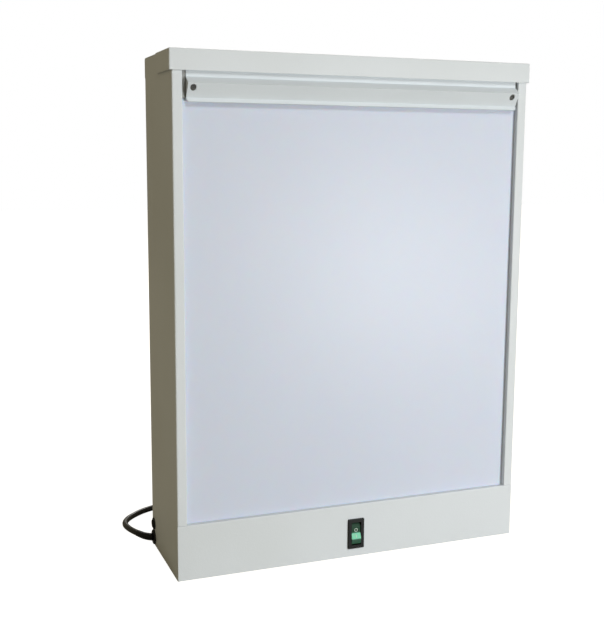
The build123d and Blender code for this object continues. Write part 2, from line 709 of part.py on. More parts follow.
def make_terminal_block():
    wide, deep, tall = TERMINAL_SIZE
    body = block(
        (TERMINAL_X - wide / 2, TERMINAL_X + wide / 2),
        (BACK_INNER - deep, BACK_INNER),
        (TERMINAL_Z, TERMINAL_Z + tall),
    )
    pitch = wide / TERMINAL_WAYS
    for i in range(TERMINAL_WAYS):
        x = TERMINAL_X + (i - (TERMINAL_WAYS - 1) / 2) * pitch
        body -= rod((x, BACK_INNER - deep, TERMINAL_Z + tall / 2), (0, 1, 0), 2.0, 4)
        for z, way in ((TERMINAL_Z, 1), (TERMINAL_Z + tall, -1)):
            body -= rod((x, BACK_INNER - deep / 2, z), (0, 0, way), 1.6, 4)
    x, z = terminal_screw_place()
    face = BACK_INNER - deep
    body -= rod((x, face, z), (0, 1, 0), GEAR_SCREW + HOLE_FIT, deep)
    return body - rod((x, face, z), (0, 1, 0), GEAR_SCREW_HEAD + FIT, GEAR_SCREW_HEAD_THICK + 1)


def terminal_screw_place():
    return TERMINAL_X, TERMINAL_Z + TERMINAL_SIZE[2] / 2


def make_terminal_screw():
    x, z = terminal_screw_place()
    seat = BACK_INNER - TERMINAL_SIZE[1] + GEAR_SCREW_HEAD_THICK + 1
    return gear_screw((x, seat, z), BACK - seat)


def make_earth_stud():
    stud = rod((EARTH_X, BACK, EARTH_Z), (0, -1, 0), GEAR_SCREW, EARTH_STUD_LONG)
    plane = Plane(origin=(EARTH_X, BACK_INNER, EARTH_Z), z_dir=(0, -1, 0))
    nut = extrude(plane * RegularPolygon(EARTH_NUT, 6), amount=EARTH_NUT_THICK)
    nut -= rod((EARTH_X, BACK_INNER, EARTH_Z), (0, -1, 0), GEAR_SCREW + HOLE_FIT, EARTH_NUT_THICK)
    return group([stud, nut])


# ---- Lamps, reflector and ballasts ----


def post_places():
    return [(side * POST_X, z) for side in SIDES for z in POST_Z]


def make_reflector():
    """White tray behind the lamps, with wings that slant out to the walls."""
    edge = TRAY_HALF + WING_OUT
    path = [
        (-edge, TRAY_FRONT - WING_DEEP),
        (-TRAY_HALF, TRAY_FRONT),
        (TRAY_HALF, TRAY_FRONT),
        (edge, TRAY_FRONT - WING_DEEP),
    ]
    tray = along_z(path + beside(path, TRAY_SHEET)[::-1], TRAY_BOTTOM, TRAY_TOP)
    for x, z in post_places():
        tray -= rod((x, TRAY_FRONT - 1, z), (0, 1, 0), GEAR_SCREW + HOLE_FIT, TRAY_SHEET + 2)
    return tray


def make_posts():
    """Stand-offs between the back wall and the reflector, threaded at the front."""
    posts = []
    for x, z in post_places():
        post = rod((x, TRAY_BACK, z), (0, 1, 0), POST_RADIUS, GEAR_DEPTH)
        post += rod((x, BACK_INNER, z), (0, 1, 0), GEAR_SCREW, SHEET)
        posts.append(post - rod((x, TRAY_BACK, z), (0, 1, 0), GEAR_SCREW + HOLE_FIT, 10))
    return group(posts)


def make_tray_screws():
    return group(gear_screw((x, TRAY_FRONT, z), 8) for x, z in post_places())


def make_lamp_tube(side):
    """Glass of one lamp, open where its two end caps sit."""
    x = side * LAMP_X
    inside = LAMP_RADIUS - LAMP_WALL
    start = LAMP_BOTTOM + 1
    glass = rod((x, LAMP_Y, start), (0, 0, 1), inside, LAMP_LONG - 2)
    middle = LAMP_LONG - 2 * LAMP_CAP_LONG
    glass += rod((x, LAMP_Y, LAMP_BOTTOM + LAMP_CAP_LONG), (0, 0, 1), LAMP_RADIUS, middle)
    return glass - rod((x, LAMP_Y, start), (0, 0, 1), inside - LAMP_WALL, LAMP_LONG - 2)


def lamp_ends():
    """Each lamp end: x, the z of its cap's face, and the way out of the lamp."""
    return [(side * LAMP_X, z, way) for side in SIDES for z, way in ((LAMP_BOTTOM, -1), (LAMP_TOP, 1))]


def make_lamp_caps():
    caps = []
    for x, z, way in lamp_ends():
        cap = rod((x, LAMP_Y, z), (0, 0, -way), LAMP_RADIUS, LAMP_CAP_LONG)
        cap -= rod((x, LAMP_Y, z - way), (0, 0, -way), LAMP_RADIUS - LAMP_WALL + HOLE_FIT, LAMP_CAP_LONG)
        for side in SIDES:
            pin = (x, LAMP_Y + side * LAMP_PIN_PITCH / 2, z - way)
            cap -= rod(pin, (0, 0, way), LAMP_PIN + HOLE_FIT, 2)
        caps.append(cap)
    return group(caps)


def make_lamp_pins():
    pins = []
    for x, z, way in lamp_ends():
        for side in SIDES:
            start = (x, LAMP_Y + side * LAMP_PIN_PITCH / 2, z - way)
            pins.append(rod(start, (0, 0, way), LAMP_PIN, LAMP_PIN_LONG + 1))
    return group(pins)


def make_lampholders():
    holders = []
    for x, z, way in lamp_ends():
        span = (min(z, z + way * HOLDER_THICK), max(z, z + way * HOLDER_THICK))
        half = HOLDER_WIDE / 2
        holder = block((x - half, x + half), (LAMP_Y, TRAY_FRONT), span)
        holder += rod((x, LAMP_Y, span[0]), (0, 0, 1), half, HOLDER_THICK)
        foot = (z + way * (HOLDER_THICK - 2.5), z + way * HOLDER_THICK)
        holder += block((x - half - 6, x + half + 6), (TRAY_FRONT - 3, TRAY_FRONT), (min(foot), max(foot)))
        for side in SIDES:
            pin = (x, LAMP_Y + side * LAMP_PIN_PITCH / 2, z)
            holder -= rod(pin, (0, 0, way), LAMP_PIN + HOLE_FIT, LAMP_PIN_LONG + 1)
        holders.append(holder)
    return group(holders)


def starter_y():
    return TRAY_FRONT - SOCKET_WIDE / 2


def make_starter_sockets():
    half = SOCKET_WIDE / 2
    return group(
        block(
            (side * STARTER_X - half, side * STARTER_X + half),
            (starter_y() - half, TRAY_FRONT),
            (STARTER_Z, STARTER_Z + SOCKET_THICK),
        )
        for side in SIDES
    )


def make_starters():
    cans = []
    for side in SIDES:
        start = (side * STARTER_X, starter_y(), STARTER_Z + SOCKET_THICK)
        can = rod(start, (0, 0, 1), STARTER_RADIUS, STARTER_LONG)
        cans.append(fillet(can.edges().filter_by(GeomType.CIRCLE).sort_by(Axis.Z)[-1], 2.0))
    return group(cans)


def ballast_screw_places():
    low, high = BALLAST_Z - BALLAST_FOOT / 2, BALLAST_Z + BALLAST_LONG + BALLAST_FOOT / 2
    return [(side * LAMP_X, z) for side in SIDES for z in (low, high)]


def make_ballasts():
    """Chokes for the lamps: laminated cores on a foot plate with a screw at each end."""
    half = BALLAST_WIDE / 2
    cores = []
    for side in SIDES:
        x = side * LAMP_X
        core = block(
            (x - half, x + half),
            (BACK_INNER - BALLAST_DEEP, BACK_INNER - FOOT_THICK),
            (BALLAST_Z, BALLAST_Z + BALLAST_LONG),
        )
        core = fillet(edges_at(core, Axis.Z, y=BACK_INNER - BALLAST_DEEP), 2.5)
        core += block(
            (x - half * 0.7, x + half * 0.7),
            (BACK_INNER - FOOT_THICK, BACK_INNER),
            (BALLAST_Z - BALLAST_FOOT, BALLAST_Z + BALLAST_LONG + BALLAST_FOOT),
        )
        for place_x, z in ballast_screw_places():
            if place_x == x:
                core -= rod((x, BACK_INNER - 5, z), (0, 1, 0), GEAR_SCREW + HOLE_FIT, 6)
        cores.append(core)
    return group(cores)


def make_ballast_screws():
    seat = BACK_INNER - FOOT_THICK
    return group(gear_screw((x, seat, z), BACK - seat) for x, z in ballast_screw_places())


# ---- Internal wiring ----


def make_supply_tail():
    """The cord's sheath inside the casing, from the gland's outer face to where its cores part."""
    return rod((cord_exit(), ENTRY_Y, GLAND_Z), (1, 0, 0), CORD, SHEATH_LONG)


def tail_end():
    return cord_exit() + SHEATH_LONG


def make_supply_wires():
    """Line core to the fuse, neutral core to the terminal block, earth core to the stud."""
    start = tail_end()
    fuse_end = -HALF + FUSE_BODY_LONG
    turn = start + 18
    high = GLAND_Z + 1.9
    line = wire(
        (start, ENTRY_Y, high),
        (turn, ENTRY_Y, high),
        (turn, ENTRY_Y, FUSE_Z),
        (fuse_end, ENTRY_Y, FUSE_Z),
    )
    low = GLAND_Z - 1.6
    lead = start + 7
    neutral_x = TERMINAL_X - TERMINAL_SIZE[0] * 3 / 8
    mid = BACK_INNER - TERMINAL_SIZE[1] / 2
    neutral = wire(
        (start, ENTRY_Y - 1.5, low),
        (lead, ENTRY_Y - 1.5, low),
        (neutral_x - 12, mid - 3, low),
        (neutral_x, mid, low),
        (neutral_x, mid, TERMINAL_Z),
    )
    stud = BACK_INNER - EARTH_NUT_THICK - WIRE - SEAM
    earth_x = EARTH_X - GEAR_SCREW - WIRE
    earth = wire(
        (start, ENTRY_Y + 1.3, low),
        (lead, ENTRY_Y + 1.3, low),
        (earth_x, stud, low),
        (earth_x, stud, EARTH_Z),
    )
    return group([line, neutral, earth])


def make_switch_wires():
    """Pair from the terminal block under the reflector to the switch."""
    mid = BACK_INNER - TERMINAL_SIZE[1] / 2
    pair = []
    for i, z in enumerate(tab_places()[:2]):
        x = TERMINAL_X + (i * 2 - 1) * TERMINAL_SIZE[0] / 8
        low = 2 * SHEET + 3 + 2.4 * i
        front = FRONT + SWITCH_BODY_DEEP + TAB_LONG + 6 + 3 * i
        pair.append(
            wire(
                (x, mid, TERMINAL_Z),
                (x, mid, low),
                (x, front, low),
                (SWITCH_X, front, low),
                (SWITCH_X, front, z),
                (SWITCH_X, FRONT + SWITCH_BODY_DEEP + TAB_LONG, z),
            )
        )
    return group(pair)


def make_lamp_wires():
    """From each ballast round the reflector's ends to the lampholders, and across each starter."""
    behind = BACK_INNER - BALLAST_DEEP / 2
    front = TRAY_FRONT - 9
    under = TRAY_BOTTOM - 6
    over = TRAY_TOP + 4
    socket = STARTER_Z + SOCKET_THICK / 2
    wires = []
    for side in SIDES:
        x = side * LAMP_X
        low = LAMP_BOTTOM - HOLDER_THICK
        high = LAMP_TOP + HOLDER_THICK
        wires.append(wire((x, front, low), (x, front, under), (x, behind, under), (x, behind, BALLAST_Z)))
        top = BALLAST_Z + BALLAST_LONG
        wires.append(wire((x, front, high), (x, front, over), (x, behind, over), (x, behind, top)))
        near = side * (STARTER_X + SOCKET_WIDE / 2)
        far = side * (LAMP_X - HOLDER_WIDE / 2)
        bottom, top = LAMP_BOTTOM - HOLDER_THICK / 2, LAMP_TOP + HOLDER_THICK / 2
        for level, end, out in ((socket - 2, bottom, 12), (socket + 2, top, 9)):
            turn = near + side * out
            corners = [(turn, front, level), (turn, front, end)]
            wires.append(wire((near, front, level), *corners, (far, front, end)))
    return group(wires)


# ---- Mains cord, coil and plug ----


def cord_route():
    """Centreline of the loose stretch, from the gland round the rear corner to the coil."""
    return [
        (cord_exit(), ENTRY_Y, GLAND_Z),
        (cord_exit() - 6.8, ENTRY_Y, GLAND_Z),
        (-203.6, 54.6, 10.4),
        (-207.4, 66.5, 10.4),
        (-210.3, 82.0, 8.6),
        (-210.8, 99.5, 6.6),
        (-206.0, 118.0, 4.4),
        (-195.0, 134.0, CORD),
        (-177.0, 148.5, CORD),
        (-150.0, 158.0, CORD),
        (-120.0, 156.5, CORD),
        (COIL_X, COIL_Y + outer_turn(), CORD),
    ]


def run_bends(points):
    """The largest arc that each corner's two runs leave room for."""
    bends = []
    for before, corner, after in zip(points, points[1:], points[2:]):
        first, second = Vector(*corner) - Vector(*before), Vector(*after) - Vector(*corner)
        turn = math.radians(first.get_angle(second))
        bends.append(0.45 * min(first.length, second.length) / math.tan(turn / 2))
    return bends


def outer_turn():
    """Radius of the outermost turn's centreline."""
    return coil_outer() - CORD


def coil_outer():
    return COIL_RADIUS + COIL_ACROSS * CORD


def coil_top():
    return 2 * CORD * COIL_LAYERS


def make_cord():
    points = cord_route()
    bends = run_bends(points)
    print("cord bend radii", [round(r, 1) for r in bends])
    tube = pipe(points, CORD, bends)
    path = FilletPolyline(*points, radius=bends)
    share = tube.volume / (math.pi * CORD**2 * path.length)
    print("cord length", round(path.length, 1), "volume share", round(share, 4))
    return tube


def make_coil():
    """Outer shape of the wound cord."""
    inner = COIL_RADIUS - COIL_ACROSS * CORD
    section = Pos((inner + coil_outer()) / 2, coil_top() / 2) * RectangleRounded(
        coil_outer() - inner, coil_top(), CORD * 0.9
    )
    ring = revolve(Plane.XZ * section, Axis.Z)
    return Pos(COIL_X, COIL_Y, 0) * ring


def make_tie():
    """Strap round the coil's bundle on its right side."""
    grow = 0.7
    inner = COIL_RADIUS - COIL_ACROSS * CORD
    wide = coil_outer() - inner
    centre = (COIL_X + COIL_RADIUS, COIL_Y - 2, coil_top() / 2)
    plane = Plane(origin=centre, x_dir=(1, 0, 0), z_dir=(0, 1, 0))
    loop = RectangleRounded(wide + 2 * grow, coil_top(), CORD) - RectangleRounded(
        wide, coil_top() - 2 * grow, CORD - grow
    )
    return extrude(plane * loop, amount=4)


def tail_route():
    """Centreline from the coil's last turn into the plug."""
    return [
        (COIL_X, COIL_Y + outer_turn(), 3 * CORD),
        (-72.0, 151.0, 3 * CORD),
        (-52.0, PLUG_Y, PLUG_TALL / 2),
        (PLUG_X, PLUG_Y, PLUG_TALL / 2),
    ]


def make_cord_tail():
    points = tail_route()
    bends = run_bends(points)
    print("tail bend radii", [round(r, 1) for r in bends])
    return pipe(points, CORD, bends)


def make_plug():
    """Flat plug body with a tapered neck, lying on the surface."""
    mid = PLUG_TALL / 2
    back = Plane(origin=(PLUG_X, PLUG_Y, mid), x_dir=(0, 1, 0), z_dir=(1, 0, 0))
    body = loft(
        [
            back * RectangleRounded(PLUG_WIDE * 0.5, PLUG_TALL * 0.8, 5),
            back.offset(PLUG_LONG * 0.5) * RectangleRounded(PLUG_WIDE, PLUG_TALL, 6),
            back.offset(PLUG_LONG) * RectangleRounded(PLUG_WIDE, PLUG_TALL, 6),
        ],
        ruled=True,
    )
    neck = cone((PLUG_X, PLUG_Y, mid), (-1, 0, 0), 5.6, CORD + 0.8, PLUG_NECK)
    body += neck
    for place in pin_places():
        body -= pin_blade(*place, HOLE_FIT)
    return body - rod((PLUG_X - PLUG_NECK, PLUG_Y, mid), (1, 0, 0), CORD + FIT, PLUG_NECK)


def pin_places():
    """Each pin: its place across the plug, its height and its lean."""
    mid = PLUG_TALL / 2
    return [(-7.9, mid + 2.6, 30.0), (7.9, mid + 2.6, -30.0), (0.0, mid - 5.4, 90.0)]


def pin_blade(across, z, lean, grow):
    blade = Box(PIN_LONG + 6, PIN_THICK + 2 * grow, PIN_WIDE + 2 * grow)
    middle = PLUG_X + PLUG_LONG + (PIN_LONG - 6) / 2
    return Pos(middle, PLUG_Y + across, z) * Rot(lean, 0, 0) * blade


def make_plug_pins():
    return group(pin_blade(*place, 0) for place in pin_places())


NODES = {
    "housing_body": make_housing_body(),
    "bottom_plate": make_bottom_plate(),
    "top_plate_rear": make_top_plate(),
    "top_cap": make_top_cap(),
    "switch_panel": make_switch_panel(),
    "panel_guide_left": make_panel_guide(-1),
    "panel_guide_right": make_panel_guide(1),
    "diffuser_panel": make_diffuser_panel(),
    "top_rail": make_top_rail(),
    "film_clip_bar": make_clip_bar(),
    "clip_end_block_left": make_end_block(-1),
    "clip_end_block_right": make_end_block(1),
    "clip_end_screws": make_end_screws(),
    "clip_rail_screws": make_clip_screws(),
    "roller_dividers": make_dividers(),
    **{f"film_roller_{i + 1}": make_roller(i) for i in range(ROLLERS)},
    "switch_body": make_switch_body(),
    "rocker": make_rocker(),
    "switch_tabs": make_switch_tabs(),
    "cable_gland": make_gland(),
    "gland_nut": make_gland_nut(),
    "fuse_holder": make_fuse_holder(),
    "fuse_cap": make_fuse_cap(),
    "fuse_cartridge": make_fuse_cartridge(),
    "terminal_block": make_terminal_block(),
    "terminal_screw": make_terminal_screw(),
    "earth_stud": make_earth_stud(),
    "reflector_tray": make_reflector(),
    "tray_posts": make_posts(),
    "tray_screws": make_tray_screws(),
    "lamp_tube_left": make_lamp_tube(-1),
    "lamp_tube_right": make_lamp_tube(1),
    "lamp_caps": make_lamp_caps(),
    "lamp_pins": make_lamp_pins(),
    "lampholders": make_lampholders(),
    "starter_sockets": make_starter_sockets(),
    "starters": make_starters(),
    "ballasts": make_ballasts(),
    "ballast_screws": make_ballast_screws(),
    "supply_tail": make_supply_tail(),
    "supply_wires": make_supply_wires(),
    "switch_wires": make_switch_wires(),
    "lamp_wires": make_lamp_wires(),
    "mains_cord": make_cord(),
    "cord_coil": make_coil(),
    "cord_tail": make_cord_tail(),
    "cord_tie": make_tie(),
    "plug_body": make_plug(),
    "plug_pins": make_plug_pins(),
}

os.makedirs("parts", exist_ok=True)
for name, shape in NODES.items():
    export_step(shape, f"parts/{name}.step")
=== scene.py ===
"""Light box for viewing film: looks, cord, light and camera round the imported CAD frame."""

import json
import math

import bpy
from mathutils import Matrix, Vector


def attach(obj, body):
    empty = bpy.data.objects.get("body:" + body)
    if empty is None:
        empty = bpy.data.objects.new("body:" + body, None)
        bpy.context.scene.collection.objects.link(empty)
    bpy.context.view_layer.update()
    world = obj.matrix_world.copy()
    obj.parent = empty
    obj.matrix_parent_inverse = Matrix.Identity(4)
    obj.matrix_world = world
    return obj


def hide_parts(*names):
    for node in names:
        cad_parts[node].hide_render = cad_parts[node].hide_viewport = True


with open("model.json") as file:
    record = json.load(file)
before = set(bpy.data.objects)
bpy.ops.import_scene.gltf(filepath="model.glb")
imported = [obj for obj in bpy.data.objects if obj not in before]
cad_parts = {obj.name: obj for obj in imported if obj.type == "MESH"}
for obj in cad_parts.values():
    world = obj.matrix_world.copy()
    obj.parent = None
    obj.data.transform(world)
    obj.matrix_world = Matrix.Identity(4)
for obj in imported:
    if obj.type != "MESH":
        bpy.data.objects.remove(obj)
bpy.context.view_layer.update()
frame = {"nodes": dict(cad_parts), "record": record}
scene = bpy.context.scene
scene.view_settings.view_transform = "Standard"
NODES = frame["nodes"]

# ---- Camera, at the photograph's viewing angle ----

CAMERA_NEAR = 0.01
CAMERA_AT = Vector((-0.41224, -0.96895, 0.41083))
CAMERA_YAW = math.radians(21.07)
CAMERA_PITCH = math.radians(8.57)  # below the horizon
CAMERA_ROLL = math.radians(0.34)
CAMERA_LENS = 58.2
CAMERA_SENSOR = 36.0


def add_camera():
    ahead = Vector((
        math.sin(CAMERA_YAW) * math.cos(CAMERA_PITCH),
        math.cos(CAMERA_YAW) * math.cos(CAMERA_PITCH),
        -math.sin(CAMERA_PITCH),
    ))
    level = Vector((math.cos(CAMERA_YAW), -math.sin(CAMERA_YAW), 0))
    rise = level.cross(ahead)
    right = level * math.cos(CAMERA_ROLL) + rise * math.sin(CAMERA_ROLL)
    up = rise * math.cos(CAMERA_ROLL) - level * math.sin(CAMERA_ROLL)
    data = bpy.data.cameras.new("camera")
    data.lens = CAMERA_LENS
    data.sensor_width = CAMERA_SENSOR
    data.clip_start = CAMERA_NEAR
    camera = bpy.data.objects.new("camera", data)
    turn = Matrix((right, up, -ahead)).transposed().to_4x4()
    camera.matrix_world = Matrix.Translation(CAMERA_AT) @ turn
    scene.collection.objects.link(camera)
    scene.camera = camera


add_camera()

# ---- Node materials ----

# Noise scales, in cells to a metre
ENAMEL_CLOUD = 7.0
ENAMEL_MARKS = 60.0
ENAMEL_PEEL = 620.0
PLASTIC_TONE = 40.0
PLASTIC_WEAR = 130.0
PLASTIC_GRAIN = 900.0
CORD_GRAIN = 700.0
ROLLED_LINES = 400.0
TURNED_LINES = 900.0
BRASS_LINES = 700.0
OPAL_CLOUD = 9.0
OPAL_SATIN = 1100.0
ROCKER_GRAIN = 1500.0
GLASS_TONE = 90.0
GLASS_RIPPLE = 500.0

# Heights of the relief, in metres
DEEP = 0.0002
FINE = 0.0001

BEVEL_SAMPLES = 4
DUSTY = 0.955  # how much darker enamel is in its clouds
WINDOW_HALF = 0.18  # half the opal panel's width
ROCKER_HALF = 0.012  # half the rocker's height


def shader(name, colour, roughness, metallic=0.0, **sockets):
    """A node material and its Principled shader, with constants on the shader's own sockets."""
    mat = bpy.data.materials.new(name)
    mat.use_nodes = True
    main = mat.node_tree.nodes["Principled BSDF"]
    main.inputs["Base Color"].default_value = (*colour, 1)
    main.inputs["Roughness"].default_value = roughness
    main.inputs["Metallic"].default_value = metallic
    for socket, value in sockets.items():
        main.inputs[socket.replace("_", " ")].default_value = value
    return mat, main


def place(tree, stretch=(1, 1, 1)):
    """The position on the piece, in metres, stretched along the axes."""
    coords = tree.nodes.new("ShaderNodeTexCoord")
    mapping = tree.nodes.new("ShaderNodeMapping")
    mapping.inputs["Scale"].default_value = stretch
    tree.links.new(coords.outputs["Object"], mapping.inputs["Vector"])
    return mapping.outputs["Vector"]


def noise(tree, at, scale, detail=2.0, roughness=0.5):
    node = tree.nodes.new("ShaderNodeTexNoise")
    node.inputs["Scale"].default_value = scale
    node.inputs["Detail"].default_value = detail
    node.inputs["Roughness"].default_value = roughness
    tree.links.new(at, node.inputs["Vector"])
    return node.outputs["Fac"]


def ramp(tree, value, stops):
    """Colours at places along a value."""
    node = tree.nodes.new("ShaderNodeValToRGB")
    elements = node.color_ramp.elements
    while len(elements) < len(stops):
        elements.new(0.5)
    for element, (at, colour) in zip(elements, stops):
        element.position = at
        element.color = (*colour, 1)
    tree.links.new(value, node.inputs["Fac"])
    return node.outputs["Color"]


def spread(tree, value, low, high):
    """A value from 0 to 1 brought to another span."""
    node = tree.nodes.new("ShaderNodeMapRange")
    node.inputs["To Min"].default_value = low
    node.inputs["To Max"].default_value = high
    tree.links.new(value, node.inputs["Value"])
    return node.outputs["Result"]


def relief(tree, main, height, distance, strength, soften=0.0):
    """Bump on the shader's normal, over edges rounded by soften."""
    node = tree.nodes.new("ShaderNodeBump")
    node.inputs["Distance"].default_value = distance
    node.inputs["Strength"].default_value = strength
    tree.links.new(height, node.inputs["Height"])
    if soften:
        edge = tree.nodes.new("ShaderNodeBevel")
        edge.samples = BEVEL_SAMPLES
        edge.inputs["Radius"].default_value = soften
        tree.links.new(edge.outputs["Normal"], node.inputs["Normal"])
    tree.links.new(node.outputs["Normal"], main.inputs["Normal"])


def shade(colour, factor):
    return tuple(min(channel * factor, 1.0) for channel in colour)


def enamel(name, colour, roughness, peel=0.5, soften=0.0005, tint=(1.0, 1.0, 1.0)):
    """Stoved enamel on sheet metal: fine orange peel, slight clouding and faint handling marks."""
    gloss = {"Coat_Weight": 0.03, "Coat_Roughness": 0.3, "Specular_IOR_Level": 0.27}
    mat, main = shader(name, colour, roughness, **gloss)
    tree = mat.node_tree
    at = place(tree)
    cloud = noise(tree, at, ENAMEL_CLOUD, 3.0)
    dusty = tuple(a * b for a, b in zip(shade(colour, DUSTY), tint))
    clouded = ramp(tree, cloud, [(0.32, dusty), (0.62, colour)])
    tree.links.new(clouded, main.inputs["Base Color"])
    marks = noise(tree, at, ENAMEL_MARKS, 5.0, 0.65)
    tree.links.new(spread(tree, marks, roughness - 0.08, roughness + 0.1), main.inputs["Roughness"])
    relief(tree, main, noise(tree, at, ENAMEL_PEEL), DEEP, peel, soften)
    return mat


def moulded(name, colour, roughness, grain=PLASTIC_GRAIN, strength=0.3, soften=0.0003, **sockets):
    """Moulded plastic with a fine spark-eroded grain."""
    mat, main = shader(name, colour, roughness, **sockets)
    tree = mat.node_tree
    at = place(tree)
    stops = [(0.3, shade(colour, 0.86)), (0.7, shade(colour, 1.08))]
    tone = ramp(tree, noise(tree, at, PLASTIC_TONE, 3.0), stops)
    tree.links.new(tone, main.inputs["Base Color"])
    wear = noise(tree, at, PLASTIC_WEAR, 4.0)
    tree.links.new(spread(tree, wear, roughness - 0.1, roughness + 0.12), main.inputs["Roughness"])
    relief(tree, main, noise(tree, at, grain, 3.0), DEEP, strength, soften)
    return mat


def metal(name, colour, roughness, stretch=(1, 1, 1), scale=ROLLED_LINES, strength=0.15):
    """Bare or plated metal with rolling or turning lines along the least stretched axis."""
    mat, main = shader(name, colour, roughness, 1.0)
    tree = mat.node_tree
    at = place(tree, stretch)
    lines = noise(tree, at, scale, 3.0)
    tone = ramp(tree, lines, [(0.3, shade(colour, 0.82)), (0.7, shade(colour, 1.06))])
    tree.links.new(tone, main.inputs["Base Color"])
    tree.links.new(spread(tree, lines, roughness - 0.08, roughness + 0.12), main.inputs["Roughness"])
    relief(tree, main, lines, FINE, strength, soften=0.0002)
    return mat


def opal(name, colour):
    """Opal acrylic: milky, with painted shade making it faintly darker towards the left, and a satin
    face.
    """
    body = {"Subsurface_Weight": 0.25, "Subsurface_Scale": 0.004, "Specular_IOR_Level": 0.27}
    mat, main = shader(name, colour, 0.38, **body)
    tree = mat.node_tree
    at = place(tree)
    split = tree.nodes.new("ShaderNodeSeparateXYZ")
    tree.links.new(at, split.inputs["Vector"])
    across = tree.nodes.new("ShaderNodeMapRange")
    across.inputs["From Min"].default_value = -WINDOW_HALF
    across.inputs["From Max"].default_value = WINDOW_HALF
    tree.links.new(split.outputs["X"], across.inputs["Value"])
    # painted shade: the milky colour is 3 % darker at the left edge and full at the lit right edge
    milk_with_painted_shade = ramp(tree, across.outputs["Result"], [(0.0, shade(colour, 0.97)), (1.0, colour)])
    cloud = tree.nodes.new("ShaderNodeMix")
    cloud.data_type = "RGBA"
    cloud.blend_type = "MULTIPLY"
    cloud.inputs["Factor"].default_value = 0.6
    tree.links.new(milk_with_painted_shade, cloud.inputs["A"])
    clouds = ramp(tree, noise(tree, at, OPAL_CLOUD), [(0.3, (0.975, 0.98, 0.99)), (0.7, (1, 1, 1))])
    tree.links.new(clouds, cloud.inputs["B"])
    tree.links.new(cloud.outputs["Result"], main.inputs["Base Color"])
    relief(tree, main, noise(tree, at, OPAL_SATIN), FINE, 0.12)
    return mat


def rocker_lit_and_shaded(name, split_z, upper, lower):
    """One green rocker plastic in lit and shaded copies, from its lower skirt up: painted shade on the
    skirt, painted light over the raised lower face, painted shade turning it deep green on the upper
    face.
    """
    body = {"Subsurface_Weight": 0.2, "Subsurface_Scale": 0.003, "Specular_IOR_Level": 0.3}
    mat, main = shader(name, lower, 0.5, **body)
    tree = mat.node_tree
    at = place(tree)
    split = tree.nodes.new("ShaderNodeSeparateXYZ")
    tree.links.new(at, split.inputs["Vector"])
    height = tree.nodes.new("ShaderNodeMapRange")
    height.inputs["From Min"].default_value = split_z - ROCKER_HALF
    height.inputs["From Max"].default_value = split_z + ROCKER_HALF
    tree.links.new(split.outputs["Z"], height.inputs["Value"])
    # painted shade on the skirt and end, painted light on the raised lower face, painted shade above
    # it, darker towards the top
    tone = ramp(tree, height.outputs["Result"], [
        (0.0, shade(upper, 1.5)),
        (0.1, shade(lower, 0.15)),
        (0.235, shade(lower, 0.21)),
        (0.27, shade(lower, 0.95)),
        (0.47, lower),
        (0.53, upper),
        (1.0, shade(upper, 0.8)),
    ])
    tree.links.new(tone, main.inputs["Base Color"])
    relief(tree, main, noise(tree, at, ROCKER_GRAIN), FINE, 0.15, soften=0.0003)
    return mat


def glass(name, colour, transmission, roughness=0.08):
    """Clear or milky glass with a faint ripple."""
    mat, main = shader(name, colour, roughness, Transmission_Weight=transmission)
    tree = mat.node_tree
    at = place(tree)
    tone = ramp(tree, noise(tree, at, GLASS_TONE, 3.0), [(0.3, shade(colour, 0.96)), (0.7, colour)])
    tree.links.new(tone, main.inputs["Base Color"])
    relief(tree, main, noise(tree, at, GLASS_RIPPLE, 1.0), FINE, 0.03)
    return mat


WHITE = (0.75, 0.79, 0.835)
CLIP_WHITE = (0.765, 0.82, 0.875)
OPAL = (0.69, 0.737, 0.865)
# The rocker's one green: a copy with painted light for its raised lower face and a copy with painted
# shade for its upper face.
LIT_GREEN = (0.24, 0.73, 0.49)
SHADED_GREEN = (0.010, 0.062, 0.030)
BLACK = (0.008, 0.008, 0.009)
ROCKER_Z = 0.0254  # where the painted light on the raised lower face meets the painted shade on the upper face

